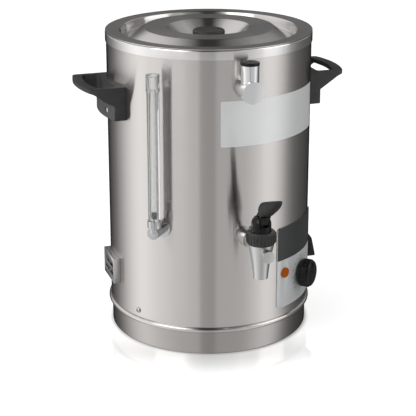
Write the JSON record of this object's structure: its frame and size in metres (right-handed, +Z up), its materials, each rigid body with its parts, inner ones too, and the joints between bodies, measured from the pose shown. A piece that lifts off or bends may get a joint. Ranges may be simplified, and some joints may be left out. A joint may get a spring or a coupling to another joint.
{
  "type": "hot chocolate dispenser",
  "caption": "Round water-jacketed steel urn with lift-off dished lid, bowed side handles, lever tap, level gauge, jacket filler and dial thermostat, for keeping and serving hot chocolate.",
  "frame": {"origin": "on the urn's axis at the floor, in the plane of the foot skirt's turned-in lip", "axes": "+Z up along the urn's axis, -Y towards the tap, +X to the right as seen from the tap"},
  "size_m": [0.376, 0.4093, 0.4233],
  "materials": {
    "body_steel": "fine vertical brushing",
    "skirt_steel": "satin",
    "inner_steel": "satin",
    "rim_steel": "bright brushed",
    "lid_steel": "polished",
    "vent_steel": "satin",
    "screw_steel": "turned",
    "chrome_fitting": "polished plate",
    "black_handle": "moulded, faint grain",
    "black_tap": "moulded satin",
    "black_control": "moulded satin",
    "seal_rubber": "matt",
    "valve_cup": "food-grade silicone",
    "clear_tube": "clear",
    "float_dark": "gloss",
    "panel_metal": "pale satin film",
    "amber_lens": "translucent amber",
    "cream_plastic": "moulded",
    "dark_plastic": "phenolic moulding",
    "brass_nut": "turned",
    "copper_bulb": "drawn copper",
    "element_steel": "heat-darkened"
  },
  "bodies": {
    "urn": {"outer_jacket": "body_steel", "base_skirt": "skirt_steel", "base_plate": "inner_steel", "base_screws": "screw_steel", "jacket_floor": "inner_steel", "inner_pot": "inner_steel", "pot_seal": "seal_rubber", "rim_band": "rim_steel", "left_handle": "black_handle", "right_handle": "black_handle", "handle_screws": "screw_steel", "outlet_pipe": "inner_steel", "tap_seal": "seal_rubber", "union_nut": "chrome_fitting", "tap_body": "chrome_fitting", "bonnet": "black_tap", "ribbed_collar": "black_tap", "valve_spring": "screw_steel", "gauge_flange": "chrome_fitting", "gauge_elbow": "chrome_fitting", "gauge_nut": "brass_nut", "gauge_seal": "seal_rubber", "gauge_tube": "clear_tube", "gauge_cap": "clear_tube", "filler_body": "chrome_fitting", "filler_nut": "brass_nut", "control_panel": "panel_metal", "lamp_lens": "amber_lens", "lamp_body": "black_control", "thermostat": "cream_plastic", "thermostat_nut": "brass_nut", "thermostat_bulb": "copper_bulb", "heating_element": "element_steel", "element_glands": "brass_nut", "overheat_cutout": "dark_plastic", "terminal_block": "cream_plastic", "vent_cover": "vent_steel", "cable_hood": "black_control", "cable_grommet": "seal_rubber"},
    "lid_unit": {"lid": "lid_steel", "lid_knob": "black_handle", "lid_knob_screw": "screw_steel"},
    "stem_unit": {"valve_stem": "screw_steel", "seat_cup": "valve_cup", "lever_pin": "screw_steel"},
    "lever": {"tap_lever": "black_tap"},
    "dial": {"control_knob": "black_control", "thermostat_shaft": "screw_steel"},
    "cap": {"filler_cap": "black_control"},
    "float": {"gauge_float": "float_dark"}
  },
  "joints": [
    {"name": "lid_lift", "type": "slide", "parent": "urn", "child": "lid_unit", "axis": [0, 0, 1], "range_m": [0, 0.12]},
    {"name": "stem_lift", "type": "slide", "parent": "urn", "child": "stem_unit", "axis": [0, 0, 1], "range_m": [0, 0.004], "stiffness_N_per_m": 400, "springref_m": -0.004, "deforming": ["valve_spring"]},
    {"name": "lever_pull", "type": "hinge", "parent": "stem_unit", "child": "lever", "pos_m": [0, -0.205, 0.2121], "axis": [1, 0, 0], "range_deg": [0, 40]},
    {"name": "dial_turn", "type": "hinge", "parent": "urn", "child": "dial", "pos_m": [0.10699, -0.10514, 0.089], "axis": [-0.7133, 0.7009, 0], "range_deg": [0, 270]},
    {"name": "cap_lift", "type": "slide", "parent": "urn", "child": "cap", "axis": [0, 0, 1], "range_m": [0, 0.05]},
    {"name": "float_rise", "type": "slide", "parent": "urn", "child": "float", "axis": [0, 0, 1], "range_m": [0, 0.14]}
  ],
  "couplings": [
    {"joint": "lever_pull", "follows": "stem_lift", "rad_per_m": 174.5}
  ]
}
